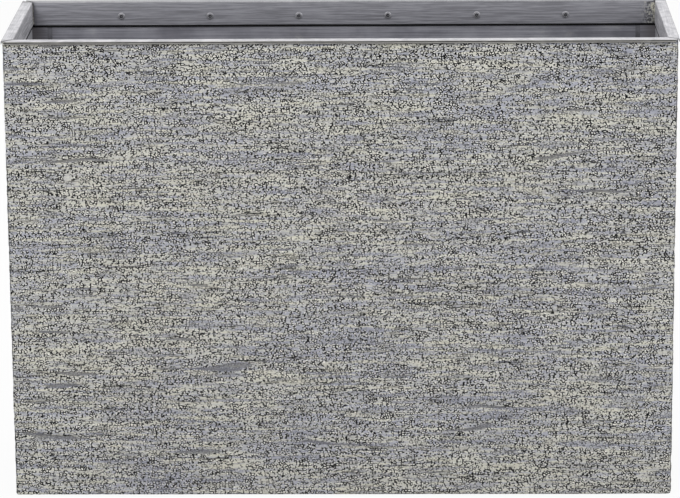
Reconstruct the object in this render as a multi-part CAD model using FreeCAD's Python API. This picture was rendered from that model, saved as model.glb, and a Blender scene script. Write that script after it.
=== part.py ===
import FreeCAD, Part
import os
from math import sqrt

# A tall narrow floor planter. Five cast stone composite slabs make the outer shell, a folded sheet-metal
# liner hangs inside it, and four mitred metal caps riveted to the liner sit on the shell's top edge.
# Millimetres, origin at the centre of the underside, front towards -Y, +Z up.

# Outer shell
shell_length = 700.0
shell_depth = 225.0
shell_height = 494.2
wall_thickness = 5.0
arris_radius = 3.0
floor_thickness = 12.0
tongue_height = 4.0
tongue_length = 2.2
bond_gap = 0.15

# Drains and the strips that carry the liner
drain_inset = 180.0
shell_drain_diameter = 30.0
liner_drain_diameter = 20.0
strip_inset = 100.0
strip_width = 36.0
strip_height = 6.0
strip_end_gap = 12.0
strip_edge_radius = 1.5

# Liner
sheet = 0.8
liner_gap = 3.0
liner_floor_gap = 0.3
liner_top_gap = 0.5
bend_radius = 3.0
flange_length = 18.0
flange_top_gap = 0.4
bead_width = 5.0
bead_thickness = 0.9
bead_toe = 0.25

# Rim caps
rim_sheet = 0.8
rim_lip_height = 3.6
rim_leg_height = 26.0
rim_lip_gap = 0.8
rim_bend_radius = 1.2
rim_hem_height = 5.0
mitre_gap = 0.3
corner_relief_diameter = 4.4
fillet_radius = 2.0
fillet_top_gap = 3.0
fillet_foot_gap = 1.0
seal_height = 1.9
seal_thickness = 1.4
seal_gap = 0.1

# Blind rivets
rivet_shank_diameter = 4.0
rivet_head_diameter = 8.0
rivet_head_height = 1.3
rivet_tail_diameter = 5.6
rivet_tail_length = 1.6
rivet_tail_end_diameter = 3.6
mandrel_diameter = 2.3
mandrel_depth = 1.6
rivet_rim_width = 0.7
rivet_hole_gap = 0.05
rivet_row_depth = 16.0
long_side_rivets = 6
end_seam_rivets = 4

# Drain plugs
plug_flange_diameter = 30.0
plug_flange_height = 2.5
plug_side_gap = 0.15
plug_tail_length = 4.5
plug_tail_diameter = 17.0
plug_neck_diameter = 7.0
plug_neck_height = 4.0
plug_knob_diameter = 12.0
plug_knob_height = 4.0
plug_edge_slope = 1.0

# Length that a cutting or trimming solid reaches past the piece it trims
overrun = 5.0

# Sizes that follow from the ones above
half_length = shell_length / 2
half_depth = shell_depth / 2
liner_inset = wall_thickness + liner_gap
hem_inset = liner_inset + sheet
leg_inset = hem_inset + rim_sheet
rim_inset = leg_inset + rim_sheet
rim_top = shell_height + rim_sheet
leg_bottom = rim_top - rim_leg_height
rivet_row = rim_top - rivet_row_depth
strip_top = floor_thickness + strip_height
liner_bottom = strip_top + liner_floor_gap
liner_top = shell_height - liner_top_gap
liner_floor_top = liner_bottom + sheet
liner_half_length = half_length - liner_inset
liner_half_depth = half_depth - liner_inset
seal_top = leg_bottom - seal_gap
seal_foot = seal_top - seal_height
flange_top = seal_foot - flange_top_gap
left_drain = drain_inset - half_length
right_drain = half_length - drain_inset

V = FreeCAD.Vector
UP = V(0, 0, 1)
ORIGIN = V(0, 0, 0)


def polygon_face(points):
    """Flat face through the points in order."""
    return Part.Face(Part.makePolygon(points + points[:1]))


def block(half_x, half_y, bottom, top):
    """Box centred on the vertical axis, between two heights."""
    return Part.makeBox(2 * half_x, 2 * half_y, top - bottom, V(-half_x, -half_y, bottom))


def side_sector(half_run, distance, inset_start, inset_end, bottom, top, trim):
    """Plan sector of one side, mitred at 45 degrees.

    The side's outer face is at y = -distance and runs to x = +-half_run. Insets are measured inwards from
    that face, and trim shortens each end along the run.
    """
    start = half_run - inset_start - trim
    end = half_run - inset_end - trim
    y_start = inset_start - distance
    y_end = inset_end - distance
    outer = [V(-start, y_start, bottom), V(start, y_start, bottom)]
    inner = [V(end, y_end, bottom), V(-end, y_end, bottom)]
    return polygon_face(outer + inner).extrude(UP * (top - bottom))


def turned(shape, quarter_turns):
    """Copy of the shape turned about the vertical axis by quarter turns."""
    copy = shape.copy()
    copy.rotate(ORIGIN, UP, 90 * quarter_turns)
    return copy


def cylinder(diameter, length, base, direction):
    """Round bar from a base point along a direction."""
    return Part.makeCylinder(diameter / 2, length, base, direction)


# The sides in order, a quarter turn apart: name, half run, distance from the axis, rivets in the cap.
# The caps of the short sides have none: the corner joints and the hem hold them.
SIDES = (
    ("front", half_length, half_depth, long_side_rivets),
    ("right", half_depth, half_length, 0),
    ("back", half_length, half_depth, long_side_rivets),
    ("left", half_depth, half_length, 0),
)


# Outer shell: four mitred wall slabs, and a floor slab whose tongue sits in a groove round their feet
def rounded_envelope():
    """Outside of the shell, its upright arrises and bottom edges rounded."""
    solid = block(half_length, half_depth, 0, shell_height + overrun)
    rounded = []
    for edge in solid.Edges:
        box = edge.BoundBox
        upright = box.ZLength > shell_height
        at_foot = box.ZMax < arris_radius
        if upright or at_foot:
            rounded.append(edge)
    return solid.makeFillet(arris_radius, rounded)


def floor_groove():
    """Space that the floor slab's tongue takes in the walls."""
    reach = tongue_length + bond_gap - wall_thickness
    middle = floor_thickness / 2
    half_height = tongue_height / 2 + bond_gap
    return block(half_length + reach, half_depth + reach, middle - half_height, middle + half_height)


def floor_slab():
    """Slab between the walls with a tongue round its edge and two drain holes."""
    inset = wall_thickness + bond_gap
    slab = block(half_length - inset, half_depth - inset, 0, floor_thickness)
    reach = tongue_length - wall_thickness
    middle = floor_thickness / 2
    tongue = block(
        half_length + reach, half_depth + reach, middle - tongue_height / 2, middle + tongue_height / 2
    )
    slab = slab.fuse(tongue).removeSplitter()
    for x in (left_drain, right_drain):
        slab = slab.cut(cylinder(shell_drain_diameter, floor_thickness, V(x, 0, 0), UP))
    return slab


def support_strip(x):
    """Rubber strip across the floor slab, its long top edges rounded."""
    half_run = half_depth - wall_thickness - strip_end_gap
    strip = block(strip_width / 2, half_run, floor_thickness, strip_top)
    top_edges = [e for e in strip.Edges if e.BoundBox.ZMin > floor_thickness]
    long_top = [e for e in top_edges if e.BoundBox.YLength > half_run]
    strip = strip.makeFillet(strip_edge_radius, long_top)
    strip.translate(V(x, 0, 0))
    return strip


# Liner: a sheet folded to a U, and two end plates whose flanges lap inside it
def u_face(x, half_width, bottom, top, radius):
    """Face across the trough at x: a rectangle with its two lower corners rounded."""
    low = bottom + radius
    flat = half_width - radius
    diagonal = radius / sqrt(2)
    left_low, left_foot = V(x, -half_width, low), V(x, -flat, bottom)
    right_foot, right_low = V(x, flat, bottom), V(x, half_width, low)
    left_top, right_top = V(x, -half_width, top), V(x, half_width, top)
    left_middle = V(x, -flat - diagonal, low - diagonal)
    right_middle = V(x, flat + diagonal, low - diagonal)
    edges = [
        Part.makeLine(left_top, left_low),
        Part.Arc(left_low, left_middle, left_foot).toShape(),
        Part.makeLine(left_foot, right_foot),
        Part.Arc(right_foot, right_middle, right_low).toShape(),
        Part.makeLine(right_low, right_top),
        Part.makeLine(right_top, left_top),
    ]
    return Part.Face(Part.Wire(edges))


def u_bar(start, end, inset, top, radius):
    """Solid trough section between two places along the run, inset from the liner's outside."""
    face = u_face(start, liner_half_depth - inset, liner_bottom + inset, top, radius)
    return face.extrude(V(end - start, 0, 0))


def liner_wrap():
    """U-folded sheet that makes the liner's front, floor and back."""
    outside = u_bar(-liner_half_length, liner_half_length, 0, liner_top, bend_radius)
    past = liner_half_length + overrun
    inside = u_bar(-past, past, sheet, liner_top + overrun, bend_radius - sheet)
    wrap = outside.cut(inside)
    for x in (left_drain, right_drain):
        wrap = wrap.cut(cylinder(liner_drain_diameter, sheet, V(x, 0, liner_bottom), UP))
    return wrap


def liner_end_left():
    """End plate: an upright web, and a flange along the wrap that stops short of the rim leg."""
    start = -liner_half_length
    web = u_bar(start, start + sheet, sheet, liner_top, bend_radius)
    tray = u_bar(start, start + flange_length, sheet, flange_top, bend_radius)
    past = start + flange_length + overrun
    hollow = u_bar(start + sheet, past, 2 * sheet, liner_top, bend_radius - sheet)
    return web.fuse(tray.cut(hollow)).removeSplitter()


def seam_sealant_left():
    """Bead of sealant that runs out from the flange's edge on to the wrap, a thin wedge in section."""
    start = flange_length - liner_half_length
    end = start + bead_width
    outside = u_bar(start, end, sheet, flange_top, bend_radius - sheet)
    sections = []
    for x, thickness in ((start, bead_thickness), (end, bead_toe)):
        inset = sheet + thickness
        face = u_face(
            x, liner_half_depth - inset, liner_bottom + inset, flange_top + overrun, bend_radius - sheet
        )
        sections.append(face.OuterWire)
    return outside.cut(Part.makeLoft(sections, True, True))


# Rim: folded caps over the shell's top edge, mitred at the corners
def bend(centre_y, centre_z, radius, toward_y, toward_z):
    """Three points of a quarter arc in the plane x = 0, on the side that the two signs point to."""
    diagonal = radius / sqrt(2)
    first = V(0, centre_y + toward_y * radius, centre_z)
    middle = V(0, centre_y + toward_y * diagonal, centre_z + toward_z * diagonal)
    last = V(0, centre_y, centre_z + toward_z * radius)
    return first, middle, last


def rim_section(distance):
    """Section of one cap: outer lip, flat top, and inner leg whose foot is hemmed against the liner."""
    lip_out = -rim_lip_gap - rim_sheet - distance
    lip_in = -rim_lip_gap - distance
    hem_face = hem_inset - distance
    leg_back = leg_inset - distance
    leg_face = rim_inset - distance
    lip_foot = rim_top - rim_lip_height
    hem_top = leg_bottom + rim_hem_height
    low = rim_top - rim_bend_radius
    outer = bend(lip_out + rim_bend_radius, low, rim_bend_radius, -1, 1)
    inner = bend(leg_face - rim_bend_radius, low, rim_bend_radius, 1, 1)
    fold = leg_bottom + rim_sheet
    fold_points = V(0, leg_face, fold), V(0, leg_back, leg_bottom), V(0, hem_face, fold)
    straight = [
        (inner[0], fold_points[0]),
        (fold_points[2], V(0, hem_face, hem_top)),
        (V(0, hem_face, hem_top), V(0, leg_back, hem_top)),
        (V(0, leg_back, hem_top), V(0, leg_back, shell_height)),
        (V(0, leg_back, shell_height), V(0, lip_in, shell_height)),
        (V(0, lip_in, shell_height), V(0, lip_in, lip_foot)),
        (V(0, lip_in, lip_foot), V(0, lip_out, lip_foot)),
        (V(0, lip_out, lip_foot), outer[0]),
        (outer[2], inner[2]),
    ]
    edges = [Part.makeLine(first, last) for first, last in straight]
    edges += [Part.Arc(*points).toShape() for points in (outer, inner, fold_points)]
    return Part.Face(Part.Wire(Part.__sortEdges__(edges)))


def rim_cap(half_run, distance):
    """Cap of one side, mitred, with a round relief at each outer corner where the lips are folded."""
    reach = half_run + overrun
    face = rim_section(distance)
    face.translate(V(-reach, 0, 0))
    folded = face.extrude(V(2 * reach, 0, 0))
    outer = -rim_lip_gap - rim_sheet
    trim = mitre_gap / sqrt(2)
    cap = folded.common(side_sector(half_run, distance, outer, rim_inset, leg_bottom, rim_top, trim))
    for corner in (outer - half_run, half_run - outer):
        foot = V(corner, outer - distance, leg_bottom)
        cap = cap.cut(cylinder(corner_relief_diameter, rim_leg_height, foot, UP))
    return cap


def corner_fillet(toward_x, toward_y):
    """Hollow-faced fillet of sealant up an inner corner of the rim; the signs pick the corner."""
    corner_x = toward_x * (half_length - rim_inset)
    corner_y = toward_y * (half_depth - rim_inset)
    across = corner_x - toward_x * fillet_radius
    along = corner_y - toward_y * fillet_radius
    foot = leg_bottom + fillet_foot_gap
    hollow = fillet_radius / sqrt(2)
    corner = V(corner_x, corner_y, foot)
    first, last = V(across, corner_y, foot), V(corner_x, along, foot)
    middle = V(across + toward_x * hollow, along + toward_y * hollow, foot)
    face_arc = Part.Arc(first, middle, last).toShape()
    edges = [Part.makeLine(corner, first), face_arc, Part.makeLine(last, corner)]
    return Part.Face(Part.Wire(edges)).extrude(UP * (rim_top - fillet_top_gap - foot))


def rim_seal_strip(half_run, distance):
    """Rubber strip on the liner's inside, under one cap's leg, that closes the joint behind the hem."""
    seal_inset = hem_inset + seal_thickness
    return side_sector(half_run, distance, hem_inset, seal_inset, seal_foot, seal_top, 0)


# Blind rivets: domed head with the broken mandrel's hole, shank, and the bulb on the blind side
def blind_rivet(grip):
    """Rivet along +Z with its head seated at z = 0 and the sheets below it."""
    head = rivet_head_diameter / 2
    shank = rivet_shank_diameter / 2
    tail = rivet_tail_diameter / 2
    tail_end = rivet_tail_end_diameter / 2
    hole = mandrel_diameter / 2
    crown = hole + rivet_rim_width
    shoulder_share = 0.8
    middle = V(crown + (head - crown) * sqrt(0.5), 0, rivet_head_height * shoulder_share)
    foot = -grip - rivet_tail_length
    points = [
        V(crown, 0, rivet_head_height),
        V(hole, 0, rivet_head_height),
        V(hole, 0, rivet_head_height - mandrel_depth),
        V(0, 0, rivet_head_height - mandrel_depth),
        V(0, 0, foot),
        V(tail_end, 0, foot),
        V(tail, 0, -grip),
        V(shank, 0, -grip),
        V(shank, 0, 0),
        V(head, 0, 0),
    ]
    edges = [Part.Arc(points[-1], middle, points[0]).toShape()]
    for first, second in zip(points[:-1], points[1:]):
        edges.append(Part.makeLine(first, second))
    return Part.Face(Part.Wire(edges)).revolve(ORIGIN, UP, 360)


def seated_rivet(place, grip):
    """Rivet whose head lies on the front wall's inside, at a place in the front's own frame."""
    rivet = blind_rivet(grip)
    rivet.rotate(ORIGIN, V(1, 0, 0), -90)
    rivet.translate(place)
    return rivet


def rivet_hole(place, grip):
    """Hole for that rivet through the sheets it holds."""
    diameter = rivet_shank_diameter + 2 * rivet_hole_gap
    return cylinder(diameter, grip + 2 * rivet_hole_gap, place + V(0, rivet_hole_gap, 0), V(0, -1, 0))


def rim_rivet_places(half_run, distance, count):
    """Rivet places on the inner leg, which they divide into equal spaces."""
    spacing = 2 * (half_run - rim_inset) / (count + 1)
    first = -spacing * (count - 1) / 2
    return [V(first + spacing * i, rim_inset - distance, rivet_row) for i in range(count)]


def seam_rivet_places():
    """Rivet places on the left end plate's flange where it lies on the wrap's front wall."""
    x = sheet + (flange_length - sheet) / 2 - liner_half_length
    y = 2 * sheet - liner_half_depth
    spacing = (flange_top - liner_floor_top) / (end_seam_rivets + 1)
    return [V(x, y, liner_floor_top + spacing * (i + 1)) for i in range(end_seam_rivets)]


# Drain plug: a rubber stopper with a flange on the liner's floor and a knob to pull it by
def drain_plug(x):
    """Stopper turned about its own upright axis."""
    body = liner_drain_diameter / 2 - plug_side_gap
    flange = plug_flange_diameter / 2
    neck = plug_neck_diameter / 2
    knob = plug_knob_diameter / 2
    flange_up = liner_floor_top + plug_flange_height
    knob_low = flange_up + plug_neck_height
    knob_up = knob_low + plug_knob_height
    half_round = plug_knob_height / 2
    tail_foot = liner_bottom - plug_tail_length
    points = [
        V(knob - half_round, 0, knob_up),
        V(0, 0, knob_up),
        V(0, 0, tail_foot),
        V(plug_tail_diameter / 2, 0, tail_foot),
        V(body, 0, liner_bottom),
        V(body, 0, liner_floor_top),
        V(flange, 0, liner_floor_top),
        V(flange - plug_edge_slope, 0, flange_up),
        V(neck, 0, flange_up),
        V(neck, 0, knob_low),
        V(knob - half_round, 0, knob_low),
    ]
    edges = [Part.Arc(points[-1], V(knob, 0, knob_low + half_round), points[0]).toShape()]
    for first, second in zip(points[:-1], points[1:]):
        edges.append(Part.makeLine(first, second))
    plug = Part.Face(Part.Wire(edges)).revolve(ORIGIN, UP, 360)
    plug.translate(V(x, 0, 0))
    return plug


nodes = {"floor_slab": floor_slab()}
nodes["support_strip_left"] = support_strip(strip_inset - half_length)
nodes["support_strip_right"] = support_strip(half_length - strip_inset)
nodes["drain_plug_left"] = drain_plug(left_drain)
nodes["drain_plug_right"] = drain_plug(right_drain)

envelope = rounded_envelope()
groove = floor_groove()
wrap = liner_wrap()
end_left = liner_end_left()
end_right = turned(end_left, 2)

# The end plates' flanges are riveted to the wrap's front and back walls, the same way at both ends
seam_grip = 2 * sheet
left_seam = [(place, 0) for place in seam_rivet_places()]
left_seam += [(V(-place.x, place.y, place.z), 2) for place in seam_rivet_places()]
left_rivets = []
for place, quarter_turns in left_seam:
    left_rivets.append(turned(seated_rivet(place, seam_grip), quarter_turns))
    hole = turned(rivet_hole(place, seam_grip), quarter_turns)
    wrap = wrap.cut(hole).cut(turned(hole, 2))
    end_left = end_left.cut(hole)
    end_right = end_right.cut(turned(hole, 2))
nodes["end_rivets_left"] = Part.makeCompound(left_rivets)
nodes["end_rivets_right"] = turned(nodes["end_rivets_left"], 2)

# Walls, caps and cap rivets, side by side round the planter
rim_grip = 2 * rim_sheet + sheet
seals = []
for quarter_turns, (side, half_run, distance, count) in enumerate(SIDES):
    slab = side_sector(half_run, distance, 0, wall_thickness, 0, shell_height, 0)
    nodes[side + "_wall"] = turned(slab, quarter_turns).common(envelope).cut(groove)
    cap = rim_cap(half_run, distance)
    rivets = []
    for place in rim_rivet_places(half_run, distance, count):
        rivets.append(turned(seated_rivet(place, rim_grip), quarter_turns))
        hole = rivet_hole(place, rim_grip)
        cap = cap.cut(hole)
        hole = turned(hole, quarter_turns)
        wrap = wrap.cut(hole)
        end_left = end_left.cut(hole)
        end_right = end_right.cut(hole)
    nodes["rim_" + side] = turned(cap, quarter_turns)
    if rivets:
        nodes["rim_rivets_" + side] = Part.makeCompound(rivets)
    seals.append(turned(rim_seal_strip(half_run, distance), quarter_turns))

nodes["liner_wrap"] = wrap
nodes["liner_end_left"] = end_left
nodes["liner_end_right"] = end_right
nodes["seam_sealant_left"] = seam_sealant_left()
nodes["seam_sealant_right"] = turned(nodes["seam_sealant_left"], 2)
corners = [corner_fillet(x, y) for x in (-1, 1) for y in (-1, 1)]
nodes["rim_corner_sealant"] = Part.makeCompound(corners)
nodes["rim_seal"] = Part.makeCompound(seals)

os.makedirs("parts", exist_ok=True)
for name, shape in nodes.items():
    shape.exportStep("parts/" + name + ".step")
    state = "valid" if shape.isValid() else "INVALID"
    print(name, state, len(shape.Solids), "solids", round(shape.Volume, 1), "mm3")
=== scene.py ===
from itertools import product

import bpy
import numpy as np
from mathutils import Matrix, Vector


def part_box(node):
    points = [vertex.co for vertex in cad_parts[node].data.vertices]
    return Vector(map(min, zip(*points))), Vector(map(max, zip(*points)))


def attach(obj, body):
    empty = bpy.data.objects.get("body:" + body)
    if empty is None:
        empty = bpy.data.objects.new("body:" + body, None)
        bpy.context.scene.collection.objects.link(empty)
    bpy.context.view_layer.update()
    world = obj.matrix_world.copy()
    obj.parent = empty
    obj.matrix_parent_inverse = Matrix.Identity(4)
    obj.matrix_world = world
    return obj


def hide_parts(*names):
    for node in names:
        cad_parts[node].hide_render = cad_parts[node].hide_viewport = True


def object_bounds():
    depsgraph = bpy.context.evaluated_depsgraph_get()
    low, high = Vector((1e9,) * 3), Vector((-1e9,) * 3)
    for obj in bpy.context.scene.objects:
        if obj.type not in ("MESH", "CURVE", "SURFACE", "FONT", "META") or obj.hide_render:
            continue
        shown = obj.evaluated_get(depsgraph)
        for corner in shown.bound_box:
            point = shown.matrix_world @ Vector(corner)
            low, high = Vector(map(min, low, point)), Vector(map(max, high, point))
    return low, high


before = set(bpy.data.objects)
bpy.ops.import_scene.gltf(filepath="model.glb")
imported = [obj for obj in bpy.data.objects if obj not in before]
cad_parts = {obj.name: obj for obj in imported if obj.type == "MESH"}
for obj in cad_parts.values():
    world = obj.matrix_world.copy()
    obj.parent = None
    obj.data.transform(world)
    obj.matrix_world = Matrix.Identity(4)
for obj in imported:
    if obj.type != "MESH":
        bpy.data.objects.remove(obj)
cad_low, cad_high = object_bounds()


# Shell walls. Four slabs of stone composite, mitred and bonded at the corners. Their outer faces are cast
# rough, in wavy courses with pits and gouges, and dry-brushed with a cream bloom on the high spots. Their
# backs are plain.

SIDES = ("front", "right", "back", "left")
quads_per_wall = 96_000
rise_pitch_share = 0.8
arris_radius = 0.003
arris_turns = np.radians((22.5, 45.0))
foot_turns = np.radians((-75.0, -50.0, -25.0))
course_lift = 0.0045
course_quiver = 0.0016
swell_depth = 0.0004
course_depth = 0.0008
lump_depth = 0.0005
grain_depth = 0.0007
pit_depth = 0.001
gouge_depth = 0.0016
face_sink = 0.0005
face_limit = 0.0003
edge_margin = 0.014
edge_relief_share = 0.2
smooth_edge = 0.011
smooth_edge_wander = 0.006
smooth_edge_share = 0.8
lip_cover = 0.006
lip_sink = 0.0003
plates_per_metre = (360.0, 420.0)
plate_sway = 0.0016
sways_per_metre = 330.0
bond_line_width = 0.0009
bond_core_width = 0.0005


def smooth_step(value, low, high):
    """0 up to low, 1 from high on, and 3t^2 - 2t^3 between them; low may be the larger of the two."""
    share = np.clip((value - low) / (high - low), 0.0, 1.0)
    return share * share * (3.0 - 2.0 * share)


def lattice_noise(points, cell, seed):
    """Gradient noise of about -1 to 1: every corner of a lattice of that cell size has a slope that its
    place hashes to, and the heights of the eight slopes round a point are blended by 6t^5 - 15t^4 + 10t^3
    on each axis."""
    scaled = points / np.broadcast_to(cell, 3)
    base = np.floor(scaled).astype(np.int64)
    part = scaled - base
    fade = part**3 * (part * (part * 6.0 - 15.0) + 10.0)
    total = np.zeros(points.shape[:-1])
    for corner in product((0, 1), repeat=3):
        spot = (base + corner).astype(np.uint32)
        code = spot[..., 0] * np.uint32(374761393) + spot[..., 1] * np.uint32(668265263)
        code = code + spot[..., 2] * np.uint32(2246822519) + np.uint32(seed * 3266489)
        code = (code ^ (code >> np.uint32(13))) * np.uint32(1274126177)
        code = (code ^ (code >> np.uint32(15))) * np.uint32(2654435761)
        code = code ^ (code >> np.uint32(16))
        ten_bits = np.stack([code >> np.uint32(shift) & np.uint32(1023) for shift in (0, 10, 20)], -1)
        slope = ten_bits / 511.5 - 1.0
        weight = np.where(corner, fade, 1.0 - fade).prod(-1)
        total += weight * (slope * (part - corner)).sum(-1)
    return 1.7 * total


def turned(points, quarters):
    """Points turned about the vertical axis by right angles, counted from the front to the right."""
    cosine, sine = ((1, 0), (0, 1), (-1, 0), (0, -1))[quarters]
    x, y, z = np.moveaxis(points, -1, 0)
    return np.stack([cosine * x - sine * y, sine * x + cosine * y, z], -1)


def reach(node, quarters):
    """How far a node reaches along its own side, out from the object's middle, inwards, down and up."""
    corners = turned(np.array(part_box(node), float), -quarters % 4)
    low, high = corners.min(0), corners.max(0)
    return high[0], -low[1], -high[1], low[2], high[2]


def mesh_piece(name, points, faces, smooth, **attributes):
    """An object at the origin made from points and faces, with a float at each point under each name."""
    mesh = bpy.data.meshes.new(name)
    mesh.from_pydata(points.reshape(-1, 3).tolist(), [], faces)
    mesh.polygons.foreach_set("use_smooth", smooth)
    for label, values in attributes.items():
        mesh.attributes.new(label, "FLOAT", "POINT").data.foreach_set("value", values.ravel())
    mesh.update()
    piece = bpy.data.objects.new(name, mesh)
    bpy.context.scene.collection.objects.link(piece)
    return piece


def grid_quads(index):
    """The quads of a grid of point numbers. They face a viewer who sees columns go right and rows go up."""
    return np.stack([index[:-1, :-1], index[:-1, 1:], index[1:, 1:], index[1:, :-1]], -1).reshape(-1, 4)


def cast_relief(points):
    """Height of the cast face in metres, with the courses, gouges and smooth patches that its colour
    follows. Courses and gouges are noise squeezed in height, on a place that noise lifts, and gouges are
    cut where theirs runs high. Lumps and pits are finer noise, and smooth patches flatten them."""
    slow_lift = course_lift * lattice_noise(points, (0.11, 0.11, 0.06), 11)
    quick_lift = course_quiver * lattice_noise(points, 0.028, 12)
    waved = points + (slow_lift + quick_lift)[..., None] * (0, 0, 1)
    long_courses = lattice_noise(waved, (0.085, 0.085, 0.0095), 21)
    courses = long_courses + 0.6 * lattice_noise(waved, (0.04, 0.04, 0.0052), 22)
    swells = lattice_noise(points, (0.07, 0.07, 0.05), 31)
    lumps = lattice_noise(points, (0.0125, 0.0125, 0.0095), 41)
    grain = lattice_noise(points, (0.0064, 0.0064, 0.0056), 51)
    smooth = smooth_step(lattice_noise(points, (0.07, 0.07, 0.026), 61), 0.3, 0.75)
    long_gouges = lattice_noise(waved, (0.09, 0.09, 0.0066), 71)
    gouges = long_gouges + 0.3 * lattice_noise(points, (0.16, 0.16, 0.12), 72)
    pits = smooth_step(grain + 0.25 * lumps, -0.12, -0.6) * (1.0 - smooth)
    marks = course_depth * courses + lump_depth * lumps + grain_depth * grain
    height = swell_depth * swells + (1.0 - 0.75 * smooth) * marks
    height = height - pit_depth * pits - gouge_depth * smooth_step(gouges, 0.64, 0.8) - face_sink
    return height, courses, gouges, smooth


def slab_face(half_run, out, foot, top):
    """The face before its relief, and its normals: a grid whose columns wrap both arrises as far as the
    mitres and whose rows round under at the foot. Each point is a place on a core that is smaller by the
    arris radius, plus that radius along the normal."""
    core_run = half_run - arris_radius
    core_out = out - arris_radius
    pitch = np.sqrt(2 * half_run * (top - foot) / quads_per_wall)
    flat_run = np.linspace(-core_run, core_run, round(2 * core_run / pitch * rise_pitch_share))
    flat_rise = np.linspace(foot + arris_radius, top, round((top - foot) / pitch / rise_pitch_share))
    run_turn = np.concatenate([-arris_turns[::-1], 0 * flat_run, arris_turns])
    rise_turn = np.concatenate([foot_turns, 0 * flat_rise])[:, None]
    run_core = np.concatenate([0 * arris_turns - core_run, flat_run, 0 * arris_turns + core_run])
    rise_core = np.concatenate([0 * foot_turns + foot + arris_radius, flat_rise])[:, None]
    level = np.cos(rise_turn)
    slopes = np.broadcast_arrays(np.sin(run_turn) * level, -np.cos(run_turn) * level, np.sin(rise_turn))
    normal = np.stack(slopes, -1)
    core = np.stack(np.broadcast_arrays(run_core, -core_out, rise_core), -1)
    return core + arris_radius * normal, normal


def wall_piece(side, quarters):
    """A slab: its face is moved along its normals by the relief, which fades towards the edges and sinks
    behind the rim's lip, and flat faces close its top, foot, mitres and back. The node's box ends at the
    mitre, half way round the arris, so the corner lies past it by the radius less its cosine share."""
    mitre_run, out, back, foot, top = reach(side + "_wall", quarters)
    half_run = mitre_run + arris_radius * (1 - np.cos(arris_turns[-1]))
    base, normal = slab_face(half_run, out, foot, top)
    height, course, gouge, smooth = cast_relief(turned(base, quarters))
    from_side = half_run - np.abs(base[..., 0])
    from_edge = np.minimum(from_side, base[..., 2] - foot)
    smooth_side = smooth_step(from_side + smooth_edge_wander * course, smooth_edge, smooth_edge / 4)
    smooth = np.maximum(smooth, smooth_edge_share * smooth_side)
    under_lip = smooth_step(top - base[..., 2], lip_cover + edge_margin / 2, lip_cover)
    inside = smooth_step(from_edge, 0, edge_margin)
    height = height * (edge_relief_share + (1 - edge_relief_share) * inside)
    height = np.minimum(height, face_limit) * (1 - under_lip) - lip_sink * under_lip
    face = base + height[..., None] * normal
    inner_run = half_run - (out - back)
    backs = np.array([(x, -back, z) for z in (face[0, 0, 2], top) for x in (-inner_run, inner_run)])
    points = turned(np.concatenate([face.reshape(-1, 3), backs]), quarters)
    index = np.arange(face[..., 0].size).reshape(face.shape[:2])
    low_left, low_right, high_left, high_right = (index.size + np.arange(4)).tolist()
    quads = grid_quads(index)
    flats = [
        index[-1].tolist() + [high_right, high_left],
        index[0, ::-1].tolist() + [low_left, low_right],
        index[::-1, -1].tolist() + [low_right, high_right],
        index[:, 0].tolist() + [high_left, low_left],
        [low_right, low_left, high_left, high_right],
    ]
    plain_back = np.zeros(len(backs))
    return mesh_piece(
        side + "_wall_cast",
        points,
        quads.tolist() + flats,
        np.arange(len(quads) + len(flats)) < len(quads),
        course=np.concatenate([course.ravel(), plain_back]),
        gouge=np.concatenate([gouge.ravel(), plain_back]),
        rough=np.concatenate([1.0 - smooth.ravel(), plain_back]),
    )


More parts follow.
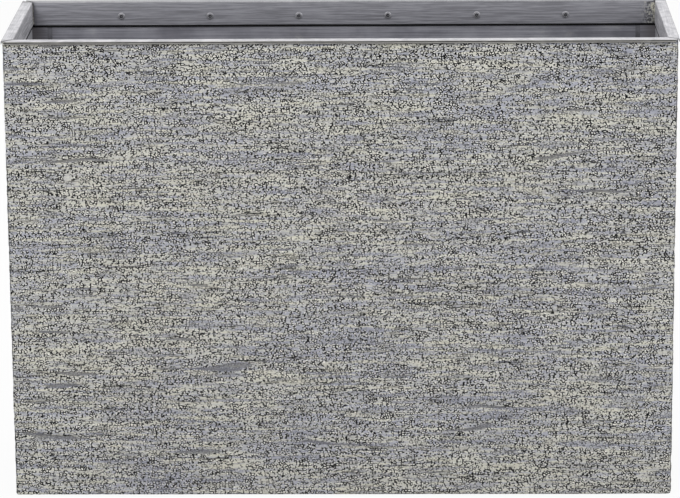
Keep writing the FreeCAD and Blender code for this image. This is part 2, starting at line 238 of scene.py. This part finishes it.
class Shade:
    """A socket in a finish's nodes. Arithmetic on it adds Math nodes."""

    def __init__(self, tree, socket):
        self.tree = tree
        self.socket = socket

    def node(self, kind, settings, sockets, output=0):
        """A new node of that type. Settings are set first, then each socket takes its value or its link."""
        node = self.tree.nodes.new("ShaderNode" + kind)
        for name, value in settings.items():
            setattr(node, name, value)
        for key, value in sockets.items():
            if isinstance(value, Shade):
                self.tree.links.new(value.socket, node.inputs[key])
            else:
                node.inputs[key].default_value = value
        return Shade(self.tree, node.outputs[output] if node.outputs else None)

    def math(self, operation, first, second):
        return self.node("Math", {"operation": operation}, {0: first, 1: second})

    def __add__(self, other):
        return self.math("ADD", self, other)

    def __sub__(self, other):
        return self.math("SUBTRACT", self, other)

    def __rsub__(self, other):
        return self.math("SUBTRACT", other, self)

    def __mul__(self, other):
        return self.math("MULTIPLY", self, other)

    def __abs__(self):
        return self.math("ABSOLUTE", self, 0.0)

    __radd__ = __add__
    __rmul__ = __mul__

    def either(self, other):
        """The larger of this value and the other."""
        return self.math("MAXIMUM", self, other)

    def step(self, low, high):
        """0 at low, 1 at high and a smooth step between; low may be the larger of the two."""
        ends = {1: min(low, high), 2: max(low, high), 3: float(low > high), 4: float(low < high)}
        return self.node("MapRange", {"interpolation_type": "SMOOTHSTEP"}, {0: self, **ends})

    def axis(self, name):
        """One part of this vector: X, Y or Z."""
        return self.node("SeparateXYZ", {}, {0: self}, name)

    def noise(self, cell, detail=2.0, roughness=0.5, distortion=0.0):
        """Noise of 0 to 1 on this place, with cells of that size in metres on each axis."""
        rate = tuple(1.0 / size for size in np.broadcast_to(cell, 3))
        scaled = self.node("VectorMath", {"operation": "MULTIPLY"}, {0: self, 1: rate})
        grain = {"Detail": detail, "Roughness": roughness, "Distortion": distortion}
        return self.node("TexNoise", {}, {"Vector": scaled, "Scale": 1.0, **grain})

    def attribute(self, name):
        """A value that the piece carries at its points."""
        return self.node("Attribute", {"attribute_name": name}, {}, "Fac")

    def mix(self, low, high):
        """Colours mixed by this value, from low at 0 to high at 1."""
        return self.node("Mix", {"data_type": "RGBA"}, {0: self, 6: low, 7: high}, 2)

    def bump(self, depth, strength=1.0):
        """A normal from this height, which is depth metres high at 1."""
        return self.node("Bump", {}, {"Height": self, "Distance": depth, "Strength": strength})

    def surface(self, gloss=0.5, **sockets):
        """The finish's Principled surface; gloss is its specular level."""
        named = {name.replace("_", " ").title(): value for name, value in sockets.items()}
        named["Specular IOR Level"] = gloss
        shader = self.node("BsdfPrincipled", {}, named)
        self.node("OutputMaterial", {}, {"Surface": shader})


def finish(name):
    """A new material, and its Object coordinates to lay patterns on."""
    material = bpy.data.materials.new(name)
    material.use_nodes = True
    material.node_tree.nodes.clear()
    start = Shade(material.node_tree, None)
    return material, start.node("TexCoord", {}, {}, "Object")


def colour(red, green, blue):
    """A colour given as it looks on a screen, 0 to 255, as the light values that nodes take."""
    level = np.array((red, green, blue)) / 255.0
    light = np.where(level > 0.04045, ((level + 0.055) / 1.055) ** 2.4, level / 12.92)
    return (*light.tolist(), 1.0)


def stone_plates(place):
    """Distance to the nearest edge, and tone, of the small plates that the skin is broken into: cells of a
    flat pattern that is laid along x plus y and up z, on a place that fine noise sways."""
    drift = place.node("TexNoise", {}, {"Vector": place, "Scale": sways_per_metre, "Detail": 1.0}, "Color")
    shift = {0: drift, 1: (plate_sway,) * 3, 2: place}
    swayed = place.node("VectorMath", {"operation": "MULTIPLY_ADD"}, shift)
    along = plates_per_metre[0] * (swayed.axis("X") + swayed.axis("Y"))
    laid = place.node("CombineXYZ", {}, {0: along, 1: plates_per_metre[1] * swayed.axis("Z"), 2: 0.0})
    flat = {"voronoi_dimensions": "2D"}
    spread = {"Vector": laid, "Scale": 1.0}
    edge = laid.node("TexVoronoi", {"feature": "DISTANCE_TO_EDGE", **flat}, spread, "Distance")
    return edge, laid.node("TexVoronoi", flat, spread, "Color").axis("X")


def rough_stone():
    """Lilac grey under a cream bloom that lies in patches, level streaks and short dashes. Cracks that come
    and go part the plates of the skin; they are painted near black as shade, and their lips get a pale
    painted highlight. Thin level splits, also painted near black as shade, darker grey gouges and the dirty
    bond line at each mitre cross it."""
    material, place = finish("rough_stone")
    course, gouge, rough = (place.attribute(name) for name in ("course", "gouge", "rough"))
    edge, tone = stone_plates(place)
    patch = place.noise((0.15, 0.15, 0.06), detail=3.0)
    streak = place.noise((0.085, 0.085, 0.0034), detail=4.0, roughness=0.6, distortion=0.15)
    dash = place.noise((0.034, 0.034, 0.0031), distortion=0.1).step(0.55, 0.62)
    slip = place.noise((0.042, 0.042, 0.0037), distortion=0.1).step(0.56, 0.63)
    bloom = (0.44 * patch + 0.88 * streak + 0.03 * course).step(0.57, 0.77)
    cloud = bloom.mix(colour(163, 165, 176), colour(197, 196, 186))
    dashed = (dash * 0.6).mix(cloud, colour(207, 204, 187))
    ground = (slip * 0.6).mix(dashed, colour(148, 150, 163))
    # Darker grey in the gouges.
    in_gouge = gouge.step(0.69, 0.75)
    gouged = (in_gouge * 0.7).mix(ground, colour(108, 109, 116))
    open_skin = (1.0 - 0.7 * in_gouge) * (1.0 - 0.4 * dash.either(slip))
    broken = (0.87 + 0.15 * rough + 0.15 * bloom) * open_skin
    run = place.noise(0.0024, detail=0.0).step(0.44, 0.5)
    # Pale lips along each crack: a painted highlight.
    lip_highlight = edge.step(0.22, 0.28) * edge.step(0.46, 0.38) * run
    highlight_and_plate_tone = (lip_highlight * 0.85).either(tone.step(0.5, 1.0) * 0.15) * broken
    highlighted = highlight_and_plate_tone.mix(gouged, colour(239, 238, 231))
    cracks = edge.step(0.25, 0.18) * run
    split_line = abs(place.noise((0.06, 0.06, 0.0044), distortion=0.2) - 0.5)
    split_run = place.noise((0.045, 0.045, 0.008), detail=1.0).step(0.5, 0.58)
    splits = split_line.step(0.02, 0.009) * split_run * 0.7
    mitre = reach("right_wall", 1)[1] - reach("front_wall", 0)[1]
    from_mitre = abs(abs(place.axis("X")) - abs(place.axis("Y")) - mitre)
    bond_run = place.noise((0.02, 0.02, 0.05)).step(0.38, 0.5)
    bond = from_mitre.step(bond_line_width, bond_core_width) * bond_run * 0.85
    # Cracks and splits are painted near black as shade; the bond line is a dark joint.
    dark = (cracks.either(splits) * broken).either(bond)
    place.surface(
        gloss=0.15,
        base_color=dark.mix(highlighted, colour(18, 18, 20)),
        roughness=0.86,
        normal=(0.8 * tone - cracks - splits).bump(0.0005),
    )
    return material


stone = rough_stone()
for quarters, side in enumerate(SIDES):
    wall = wall_piece(side, quarters)
    wall.data.materials.append(stone)
    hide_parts(side + "_wall")
    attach(wall, "shell")


# Floor slab. A plain cast slab of the same composite, tongued into the walls, with a drain hole near each
# end. Its faces come off a flat mould, so they are smooth, with small air holes and pale bloom.


def dress(node, material):
    """Gives a CAD node this finish all over."""
    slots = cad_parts[node].data.materials
    slots.clear()
    slots.append(material)


def plain_stone():
    """Mid grey with soft blotches, a thin pale bloom and air holes painted dark as their shade."""
    material, place = finish("plain_stone")
    blotch = place.noise(0.05, detail=4.0)
    bloom = place.noise(0.012, detail=5.0, roughness=0.65)
    holes = place.noise(0.0042, detail=1.0).step(0.3, 0.24)
    grey = blotch.step(0.35, 0.65).mix(colour(118, 118, 122), colour(142, 141, 140))
    pale = (bloom.step(0.5, 0.75) * 0.5).mix(grey, colour(178, 175, 166))
    place.surface(
        # The air holes are painted dark: painted shade.
        base_color=(holes * 0.8).mix(pale, colour(58, 58, 62)),
        roughness=0.88,
        normal=(bloom - holes).bump(0.0004),
    )
    return material


dress("floor_slab", plain_stone())


# Support strips. Two strips of solid black rubber, bonded across the floor slab near its ends. They carry
# the liner clear of the slab, so that water can run to the drain holes.


def moulded_rubber():
    """Near black with a grey dusting and fine mould grain."""
    material, place = finish("moulded_rubber")
    dust = place.noise(0.014, detail=5.0, roughness=0.65).step(0.45, 0.8)
    grain = place.noise(0.0007)
    place.surface(
        gloss=0.15,
        base_color=(dust * 0.6).mix(colour(9, 9, 10), colour(40, 39, 38)),
        roughness=dust * 0.2 + 0.7,
        normal=grain.bump(0.00008),
    )
    return material


rubber = moulded_rubber()
for side in ("left", "right"):
    dress("support_strip_" + side, rubber)


# Liner. Dull galvanised sheet: a wrap bent into a U makes the long sides and the floor, and an end plate
# with three lapped flanges closes each end. Roller streaks run level along the sheet. The laps towards
# each end are painted darker as shade in the corners, and each end plate's web is painted paler as light.

liner_sheet = 0.0008
lap_width = 0.03
end_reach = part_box("liner_end_right")[1].x


def galvanised_sheet():
    """Dull zinc: cloudy blotches, level roller streaks and pale oxide stains, half matt. A brown painted
    shade thickens over the last lap_width towards each end, as far as the end plate's web, which is painted
    paler as light."""
    material, place = finish("galvanised_sheet")
    from_middle = abs(place.axis("X"))
    cloud = place.noise(0.045, detail=4.0, roughness=0.6)
    streak = place.noise((0.12, 0.12, 0.0022), detail=3.0, roughness=0.6)
    stain = place.noise((0.03, 0.03, 0.02), detail=6.0, roughness=0.7).step(0.58, 0.75)
    drawn = (0.6 * streak + 0.5 * cloud).step(0.38, 0.72)
    zinc = drawn.mix(colour(120, 120, 128), colour(164, 164, 172))
    stained = (stain * 0.25).mix(zinc, colour(190, 189, 186))
    web = from_middle.step(end_reach - 2 * liner_sheet, end_reach - liner_sheet)
    # The end plate's web is painted paler: painted light.
    plate = (web * 0.7).mix(stained, colour(200, 200, 204))
    # Painted shade, brown, towards each end over the laps.
    lapped = from_middle.step(end_reach - lap_width, end_reach) * (1.0 - web)
    painted_shade = lapped * (0.5 + 0.7 * cloud) * 0.9
    place.surface(
        base_color=painted_shade.mix(plate, colour(92, 87, 87)),
        metallic=0.45 - 0.2 * stain,
        roughness=0.2 * cloud + 0.15 * stain + 0.42,
        normal=(0.6 * streak + cloud).bump(0.0003, 0.4),
    )
    return material


zinc_sheet = galvanised_sheet()
for node in ("liner_wrap", "liner_end_left", "liner_end_right"):
    dress(node, zinc_sheet)


# Seam sealant. A bead of grey sealant, run by hand along each lapped edge inside the liner to keep water
# in. It has set to a soft skin and is dirty by now.


def cured_sealant():
    """Grey with dirt in its hollows and a soft skin."""
    material, place = finish("cured_sealant")
    lumps = place.noise(0.006, detail=3.0)
    dirt = place.noise(0.011, detail=5.0, roughness=0.7).step(0.42, 0.7)
    place.surface(
        base_color=(dirt * 0.8).mix(colour(106, 106, 112), colour(66, 65, 68)),
        roughness=0.55,
        normal=lumps.bump(0.0006),
    )
    return material


sealant = cured_sealant()
for side in ("left", "right"):
    dress("seam_sealant_" + side, sealant)


# Rim caps. Four strips of sheet, folded into a channel that hooks over the shell's top edge: a short lip
# outside, a flat top and a hemmed leg inside. Their ends are mitred, with a small relief at the outer
# corner.

cap_sheet = 0.0008
cap_bend = 0.0012
cap_lip = 0.0036
hem_height = 0.005
relief_radius = 0.0022
mitre_trim = 0.0002
top_sag = 0.0001
lip_wander = 0.0003
hem_wander = 0.00035
leg_bow = 0.00025
leg_ripple = 0.0002
cap_stations = 181
daub_width = 0.02


def arc(centre, radius, start, end, count):
    """Points on an arc about centre, from one angle to the other in degrees."""
    angle = np.radians(np.linspace(start, end, count))
    return np.stack([centre[0] + radius * np.cos(angle), centre[1] + radius * np.sin(angle)], -1)


def cap_section(width, leg):
    """The folded strip's outline as (inset, height above the top): round the outside from the lip's foot
    over the two bends to the hem, then back along the inside."""
    inner_bend = cap_bend - cap_sheet
    half = cap_sheet / 2
    return np.concatenate([
        arc((half, half - cap_lip), half, 270, 180, 5),
        arc((cap_bend, -cap_bend), cap_bend, 180, 90, 7),
        arc((width - cap_bend, -cap_bend), cap_bend, 90, 0, 7),
        arc((width - cap_sheet, cap_sheet - leg), cap_sheet, 0, -180, 9),
        arc((width - 3 * half, hem_height - leg - half), half, 180, 90, 4),
        [(width - cap_sheet, hem_height - leg)],
        arc((width - cap_bend, -cap_bend), inner_bend, 0, 90, 5),
        arc((cap_bend, -cap_bend), inner_bend, 90, 180, 5),
        arc((half, half - cap_lip), half, 360, 315, 3),
    ])


def cap_piece(side, quarters):
    """The outline carried along its side. Each end follows the mitre, inset for inset, or the corner relief
    where that cuts deeper, and the strip wanders a little in height and depth as hand-folded sheet does."""
    half_run, out, inner, foot, top = reach("rim_" + side, quarters)
    section = cap_section(out - inner, top - foot)
    inset, drop = section.T
    relief = np.sqrt(np.maximum(relief_radius**2 - inset**2, 0.0))
    end = half_run - np.maximum(inset, relief) - mitre_trim
    run = np.linspace(-1.0, 1.0, cap_stations)[:, None] * end
    path = turned(np.stack([run, 0 * run - out, 0 * run + top], -1), quarters)
    slow = lattice_noise(path, 0.13, 81)
    quick = lattice_noise(path, 0.034, 82)
    hang = np.clip(-drop / (top - foot), 0.0, 1.0)
    on_lip = (inset < cap_sheet) * (drop < -cap_bend)
    on_leg = hang * (inset > cap_bend)
    rise = drop + top - top_sag * (1 + slow) + lip_wander * quick * on_lip
    rise = rise + hem_wander * (slow + 0.5 * quick) * on_leg
    depth = inset - out + (leg_bow * slow + leg_ripple * quick) * hang * on_leg
    points = turned(np.stack([run, depth, rise], -1), quarters)
    index = np.arange(run.size).reshape(run.shape)
    quads = grid_quads(np.concatenate([index, index[:, :1]], 1))[:, ::-1]
    ends = [index[0].tolist(), index[-1, ::-1].tolist()]
    girth = np.concatenate([[0.0], np.linalg.norm(np.diff(section, axis=0), axis=1).cumsum()])
    return mesh_piece(
        "rim_" + side + "_cap",
        points,
        quads.tolist() + ends,
        np.arange(len(quads) + len(ends)) < len(quads),
        along=run,
        girth=girth + 0 * run,
        hang=hang + 0 * run,
        short=np.full(run.shape, float(quarters % 2)),
    )


def worn_cap_metal_with_painted_light():
    """Zinc with streaks along the strip and cloudy smears. The top is painted pale as light, and dimmer at
    the back as painted shade. The legs are painted a duller grey as shade and lighter on the short sides as
    painted light, and daubed with sealant and dirt in the back corner on the right. The lip is painted
    darker as shade, with a painted shade line under its bend and a painted shadow line along its foot,
    which the girth round the section places."""
    material, place = finish("worn_cap_metal_with_painted_light")
    along, girth, hang, short = (place.attribute(name) for name in ("along", "girth", "hang", "short"))
    strip = place.node("CombineXYZ", {}, {0: along, 1: girth, 2: 0.0})
    streak = strip.noise((0.05, 0.0018, 1.0), detail=3.0, roughness=0.6)
    fine = strip.noise((0.012, 0.0005, 1.0))
    smear = place.noise((0.022, 0.022, 0.012), detail=4.0, roughness=0.62, distortion=1.2)
    tone = (0.55 * streak + 0.6 * smear).step(0.36, 0.8)
    corner_x, corner_y = reach("rim_corner_sealant", 0)[:2]
    behind = place.axis("Y").step(corner_y - daub_width / 2, corner_y)
    # Painted light: the top is pale; behind, it is painted dimmer as shade.
    lit_top = tone.mix(colour(148, 148, 153), colour(206, 205, 208))
    top = (behind * 0.6).mix(lit_top, colour(112, 112, 117))
    drawn = (0.7 * streak + 0.3 * fine).step(0.36, 0.64)
    # Painted shade on the long legs and painted light on the short legs.
    shaded_long_leg = drawn.mix(colour(126, 126, 132), colour(164, 164, 171))
    lit_short_leg = drawn.mix(colour(140, 140, 145), colour(212, 211, 215))
    bent = (hang.step(0.03, 0.08) * (1.0 - short)).either(hang.step(0.0, 0.4))
    folded = bent.mix(top, short.mix(shaded_long_leg, lit_short_leg))
    daub = place.axis("X").step(corner_x - daub_width, corner_x - daub_width / 4) * behind * bent
    spots = place.noise(0.0022, detail=3.0, roughness=0.65)
    dirt = (spots - 0.1 * daub).step(0.42, 0.34) * daub * 0.8
    paste = (spots + 0.08 * daub).step(0.6, 0.68) * daub * 0.75
    daubed = paste.mix(dirt.mix(folded, colour(58, 57, 57)), colour(200, 199, 186))
    # Painted shade on the lip: a line under its bend, a shadow along its foot, and the lip darker overall.
    shade_under_bend = girth.step(0.0016, 0.002) * girth.step(0.0032, 0.0027)
    lip_shade_lines = shade_under_bend.either(girth.step(0.001, 0.0006)) * fine.step(0.2, 0.45)
    lip = lip_shade_lines.mix(tone.mix(colour(128, 127, 125), colour(164, 162, 157)), colour(26, 25, 25))
    place.surface(
        base_color=girth.step(0.0038, 0.0033).mix(daubed, lip),
        metallic=0.3,
        roughness=0.15 * smear + 0.1 * streak + 0.42,
        normal=(0.5 * fine + streak + 0.6 * smear).bump(0.0002, 0.4),
    )
    return material


cap_metal = worn_cap_metal_with_painted_light()
for quarters, side in enumerate(SIDES):
    cap = cap_piece(side, quarters)
    cap.data.materials.append(cap_metal)
    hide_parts("rim_" + side)
    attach(cap, "liner")


# Blind rivets. Aluminium pop rivets: a domed head with the broken mandrel down its middle, a shank through
# the sheets and a tail swelled behind them. They hold the caps to the liner and the end plates to the wrap.

head_radius = 0.004
head_rise = 0.0013
mandrel_radius = 0.00115
mandrel_depth = 0.0016
crown_width = 0.0007
shank_radius = 0.002
tail_radius = 0.0028
tail_end_radius = 0.0018
tail_length = 0.0016
seam_grip = 2 * liner_sheet
rim_rivet_count = 6
seam_rivet_count = 4
rivet_segments = 24
hole_stations = 2
dome_stations = 7


def rivet_skin(grip):
    """Radius and height above the seat: up the mandrel hole's wall, over the crown and down the dome's
    ellipse, then along the shank and round the swelled tail."""
    crown = mandrel_radius + crown_width
    bow = np.radians(np.linspace(90, 0, dome_stations))
    dome = np.stack([crown + (head_radius - crown) * np.cos(bow), head_rise * np.sin(bow)], -1)
    hole_wall = np.linspace(head_rise - mandrel_depth, head_rise, hole_stations)
    hole = [(mandrel_radius, height) for height in hole_wall]
    tail = [(tail_radius, -grip), (tail_end_radius, -grip - tail_length)]
    return np.concatenate([hole, dome, [(shank_radius, 0.0), (shank_radius, -grip)], tail])


def rivet_piece(node, seats, grip):
    """The skin spun about each seat's axis, which points from the front to the back or, after a half turn,
    from the back to the front. Seats are pairs of places in the front's frame and quarter turns."""
    radius, height = rivet_skin(grip).T[:, :, None]
    spin = np.radians(np.arange(rivet_segments) * 360.0 / rivet_segments)
    skin = np.stack(np.broadcast_arrays(radius * np.cos(spin), height, radius * np.sin(spin)), -1)
    points = np.stack([turned(np.array(place) + skin, quarters) for place, quarters in seats])
    index = np.arange(points[..., 0].size).reshape(points.shape[:-1])
    quads = [grid_quads(np.concatenate([rivet, rivet[:, :1]], 1)) for rivet in index]
    ends = [ring for rivet in index for ring in (rivet[0, ::-1].tolist(), rivet[-1].tolist())]
    ring = np.arange(len(quads[0])) // rivet_segments
    domed = (ring >= hole_stations) & (ring < hole_stations + dome_stations - 1)
    hole = (radius <= mandrel_radius) * (height < head_rise)
    return mesh_piece(
        node + "_turned",
        points,
        np.concatenate(quads).tolist() + ends,
        np.concatenate([np.tile(domed, len(seats)), np.zeros(len(ends), bool)]),
        from_axis=np.broadcast_to(radius / head_radius, index.shape),
        mandrel=np.broadcast_to(hole.astype(float), index.shape),
    )


def satin_aluminium():
    """Dull aluminium, painted black as shade down the mandrel hole and over the inner crown, with a painted
    ring of shade where the dome meets the crown.
    """
    material, place = finish("satin_aluminium")
    from_axis, mandrel = place.attribute("from_axis"), place.attribute("mandrel")
    smear = place.noise(0.003, detail=3.0)
    # A painted ring of shade on the dome.
    painted_shade = from_axis.step(0.58, 0.64) * from_axis.step(0.84, 0.74)
    metal = smear.mix(colour(140, 140, 145), colour(184, 184, 189))
    shade_ringed = (painted_shade * 0.6).mix(metal, colour(44, 43, 44))
    # Painted shade: black down the mandrel hole and over the inner crown.
    hole = mandrel.either(from_axis.step(0.5, 0.44))
    place.surface(
        gloss=0.2,
        base_color=hole.mix(shade_ringed, colour(4, 4, 5)),
        metallic=0.4 - 0.4 * hole,
        roughness=0.15 * smear + 0.42,
        normal=smear.bump(0.0001),
    )
    return material


rivet_metal = satin_aluminium()
rivet_rows = []
for side, quarters in (("front", 0), ("back", 2)):
    half_run, tail, head, foot, top = reach("rim_rivets_" + side, quarters)
    runs = np.linspace(-1, 1, rim_rivet_count) * (half_run - head_radius)
    seats = [((run, -head - head_rise, (foot + top) / 2), quarters) for run in runs]
    rivet_rows.append(("rim_rivets_" + side, seats, tail - head - head_rise - tail_length))
for side, sign in (("left", -1), ("right", 1)):
    low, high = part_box("end_rivets_" + side)
    across = abs(low.x + high.x) / 2
    seat = low.y + tail_length + seam_grip
    rises = np.linspace(low.z + head_radius, high.z - head_radius, seam_rivet_count)
    seats = [((sign * across * turn, seat, rise), 1 - turn) for rise in rises for turn in (1, -1)]
    rivet_rows.append(("end_rivets_" + side, seats, seam_grip))
for node, seats, grip in rivet_rows:
    rivets = rivet_piece(node, seats, grip)
    rivets.data.materials.append(rivet_metal)
    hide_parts(node)
    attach(rivets, "liner")


# Rim corner sealant. The upright joints inside the rim's corners are stopped with a wiped bead of sealant.
# The one at the back on the right was done again later: it is wider, lumpy and still pale, with dirt at its
# foot.

CORNERS = ("front_right", "back_right", "back_left", "front_left")
redone_corner = "back_right"
bead_stations = 25
bow_stations = 7
bead_width = 0.001
fresh_width = 0.0035


def bead_piece(corner, quarters):
    """A fillet up the corner at the right end of a side: a hollow quarter round between the two legs, whose
    two widths follow noise along its height, closed behind along the corner."""
    half_run, out, _, foot, top = reach("rim_corner_sealant", quarters)
    rise = np.linspace(foot, top, bead_stations)[:, None]
    spot = turned(np.stack(np.broadcast_arrays(half_run, -out, rise), -1), quarters)
    wobble = 1.0 + 0.5 * lattice_noise(spot, 0.004, 91) + 0.3 * lattice_noise(spot, 0.0018, 92)
    fresh = float(corner == redone_corner)
    wide = bead_width * wobble
    tall = wide + fresh * fresh_width * np.clip(wobble, 0.4, 1.3) * smooth_step(rise, foot, top)
    bow = np.radians(np.linspace(90, 0, bow_stations))
    run = half_run - wide * (1 - np.sin(bow))
    depth = tall * (1 - np.cos(bow)) - out
    section = np.stack([run, depth, rise + 0 * run], -1)
    joint = np.stack([0 * rise + half_run, 0 * rise - out, rise], -1)
    points = turned(np.concatenate([section, joint], 1), quarters)
    index = np.arange(points[..., 0].size).reshape(points.shape[:-1])
    quads = grid_quads(np.concatenate([index, index[:, :1]], 1))
    ends = [index[0, ::-1].tolist(), index[-1].tolist()]
    return mesh_piece(
        "rim_bead_" + corner,
        points,
        quads.tolist() + ends,
        np.ones(len(quads) + len(ends), bool),
        fresh=np.full(index.shape, fresh),
        grown=np.broadcast_to((rise - foot) / (top - foot), index.shape),
    )


def corner_sealant():
    """Dirty grey, and on the fresh bead a pale yellow that shows in spots between dirt, least at its
    foot."""
    material, place = finish("corner_sealant")
    fresh, grown = place.attribute("fresh"), place.attribute("grown")
    spots = place.noise(0.0018, detail=3.0, roughness=0.6)
    pale = (spots + 0.2 * grown).step(0.58, 0.68) * fresh
    grey = spots.step(0.35, 0.6).mix(colour(100, 98, 94), colour(160, 159, 156))
    place.surface(
        base_color=pale.mix(grey, colour(206, 204, 188)),
        roughness=0.6,
        normal=spots.bump(0.0006),
    )
    return material


stopping = corner_sealant()
for quarters, corner in enumerate(CORNERS):
    bead = bead_piece(corner, quarters)
    bead.data.materials.append(stopping)
    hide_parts("rim_corner_sealant")
    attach(bead, "liner")


# Rim seal. A black rubber strip stuck to the liner all round under the caps' legs, so that soil can't get
# in behind the hem. It shows as a black line: a dark strip put where the gap under the legs holds only
# shade, so it is painted shade.

dress("rim_seal", rubber)


# Drain plugs. Moulded rubber stoppers: a knob to pull, a flange that seals on the liner's floor, a neck in
# the hole and a tapered tail below it.

for side in ("left", "right"):
    dress("drain_plug_" + side, rubber)


# Stage. A pale floor that still takes the object's shadow, and a white surround. Three large soft lamps
# light it at a plain level, and the camera stands where it did for the photograph.

floor_half = 6.0
floor_drop = 0.0002
floor_glow_share = 0.93
fill_strength = 0.55
plain_white = (1.0, 1.0, 1.0, 1.0)


def shown(start):
    """1 where a ray comes from the camera, a gloss or a glass, and 0 where it lights the object."""
    names = ("Is Camera Ray", "Is Glossy Ray", "Is Transmission Ray")
    camera_ray, glossy_ray, glass_ray = (start.node("LightPath", {}, {}, name) for name in names)
    return camera_ray.either(glossy_ray).either(glass_ray)


def pale_floor():
    """Pale matt floor, which the camera and reflections see as nearly white, with a soft shadow."""
    material, place = finish("pale_floor")
    matt = place.node("BsdfDiffuse", {}, {"Color": colour(232, 232, 232)})
    white = place.node("Emission", {}, {"Color": plain_white, "Strength": 1.0})
    both = place.node("MixShader", {}, {0: shown(place) * floor_glow_share, 1: matt, 2: white})
    place.node("OutputMaterial", {}, {"Surface": both})
    return material


spread = np.linspace(-floor_half, floor_half, 2)
ground = np.stack(np.broadcast_arrays(spread, spread[:, None], cad_low.z - floor_drop), -1)
floor = mesh_piece("floor", ground, grid_quads(np.arange(4).reshape(2, 2)).tolist(), [False])
floor.data.materials.append(pale_floor())

world = bpy.data.worlds.new("studio")
world.use_nodes = True
world.node_tree.nodes.clear()
sky = Shade(world.node_tree, None)
fill = sky.node("Background", {}, {"Color": plain_white, "Strength": fill_strength})
white = sky.node("Background", {}, {"Color": plain_white, "Strength": 1.0})
surround = sky.node("MixShader", {}, {0: shown(sky), 1: fill, 2: white})
sky.node("OutputWorld", {}, {"Surface": surround})
bpy.context.scene.world = world


def soft_light(name, place, size, power):
    """A square lamp of that size, aimed at the middle of the object."""
    lamp = bpy.data.lights.new(name, "AREA")
    lamp.size = size
    lamp.energy = power
    holder = bpy.data.objects.new(name, lamp)
    holder.location = place
    aim = (cad_low + cad_high) / 2 - holder.location
    holder.rotation_euler = aim.to_track_quat("-Z", "Y").to_euler()
    bpy.context.scene.collection.objects.link(holder)


soft_light("key", place=(-1.3, -2.2, 2.3), size=1.2, power=42.0)
soft_light("side", place=(2.4, -0.9, 1.8), size=1.4, power=26.0)
soft_light("back", place=(0.0, 1.8, 3.0), size=1.6, power=30.0)

camera_place = (0.070, -3.7695, 1.2376)
camera_heading = 1.117
camera_dip = 14.791
camera_roll = -0.438
camera = bpy.data.objects.new("camera", bpy.data.cameras.new("camera"))
camera.data.sensor_width = 36.0
camera.data.lens = 190.87
stance = Matrix.Translation(camera_place)
for degrees, axis in ((camera_heading, "Z"), (90.0 - camera_dip, "X"), (camera_roll, "Z")):
    stance = stance @ Matrix.Rotation(np.radians(degrees), 4, axis)
camera.matrix_world = stance
bpy.context.scene.collection.objects.link(camera)
bpy.context.scene.camera = camera
bpy.context.scene.view_settings.view_transform = "Standard"
